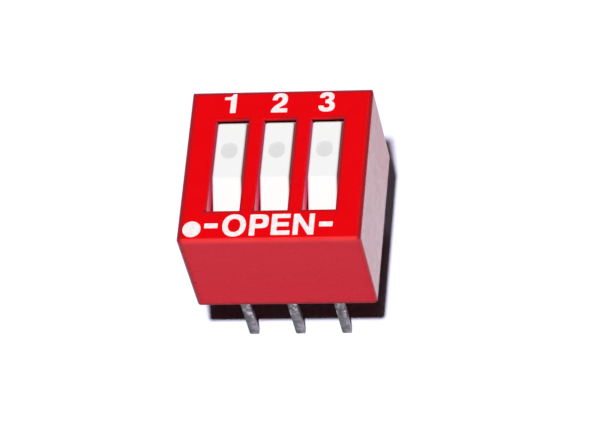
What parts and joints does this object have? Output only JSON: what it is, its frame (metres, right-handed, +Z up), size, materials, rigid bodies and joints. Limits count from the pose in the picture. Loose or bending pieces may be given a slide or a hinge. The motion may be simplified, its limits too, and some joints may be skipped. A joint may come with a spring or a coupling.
{
  "type": "dip switch",
  "caption": "Rocker DIP switch for through-hole boards: a box cover with rockers in a row of windows over spring-loaded ball contacts, on two rows of straight pins.",
  "frame": {"origin": "centre of the seating plane, the cover's lower rim, midway between the two rows of pins", "axes": "+Z up out of the board, X along the row of poles with pole 1 at -X, the side marked open and the front pins at -Y"},
  "size_m": [0.0098, 0.0094, 0.0106],
  "materials": {
    "cover_plastic": "moulded, satin, bright red",
    "base_plastic": "moulded, matt, black",
    "potting_epoxy": "cast epoxy, black",
    "rocker_plastic": "moulded, smooth, white",
    "spring_steel": "drawn wire",
    "gilt_brass": "gold plated, polished",
    "tinned_metal": "stamped strip, dull tin plate"
  },
  "bodies": {
    "housing": {"cover": "cover_plastic", "base": "base_plastic", "potting": "potting_epoxy", "front_terminal_1": "tinned_metal", "front_terminal_2": "tinned_metal", "front_terminal_3": "tinned_metal", "back_terminal_1": "tinned_metal", "back_terminal_2": "tinned_metal", "back_terminal_3": "tinned_metal"},
    "rocker_1": {"rocker_1": "rocker_plastic", "spring_1": "spring_steel"},
    "rocker_2": {"rocker_2": "rocker_plastic", "spring_2": "spring_steel"},
    "rocker_3": {"rocker_3": "rocker_plastic", "spring_3": "spring_steel"},
    "ball_1": {"ball_1": "gilt_brass"},
    "ball_2": {"ball_2": "gilt_brass"},
    "ball_3": {"ball_3": "gilt_brass"}
  },
  "joints": [
    {"name": "rocker_1_tilt", "type": "hinge", "parent": "housing", "child": "rocker_1", "pos_m": [-0.00254, 0, 0.00385], "axis": [1, 0, 0], "range_deg": [-34, 0]},
    {"name": "rocker_2_tilt", "type": "hinge", "parent": "housing", "child": "rocker_2", "pos_m": [0, 0, 0.00385], "axis": [1, 0, 0], "range_deg": [-34, 0]},
    {"name": "rocker_3_tilt", "type": "hinge", "parent": "housing", "child": "rocker_3", "pos_m": [0.00254, 0, 0.00385], "axis": [1, 0, 0], "range_deg": [-34, 0]},
    {"name": "ball_1_slide", "type": "slide", "parent": "rocker_1", "child": "ball_1", "axis": [0, -0.2924, 0.9563], "range_m": [0, 0.0003], "stiffness_N_per_m": 300, "deforming": ["spring_1"]},
    {"name": "ball_2_slide", "type": "slide", "parent": "rocker_2", "child": "ball_2", "axis": [0, -0.2924, 0.9563], "range_m": [0, 0.0003], "stiffness_N_per_m": 300, "deforming": ["spring_2"]},
    {"name": "ball_3_slide", "type": "slide", "parent": "rocker_3", "child": "ball_3", "axis": [0, -0.2924, 0.9563], "range_m": [0, 0.0003], "stiffness_N_per_m": 300, "deforming": ["spring_3"]}
  ]
}
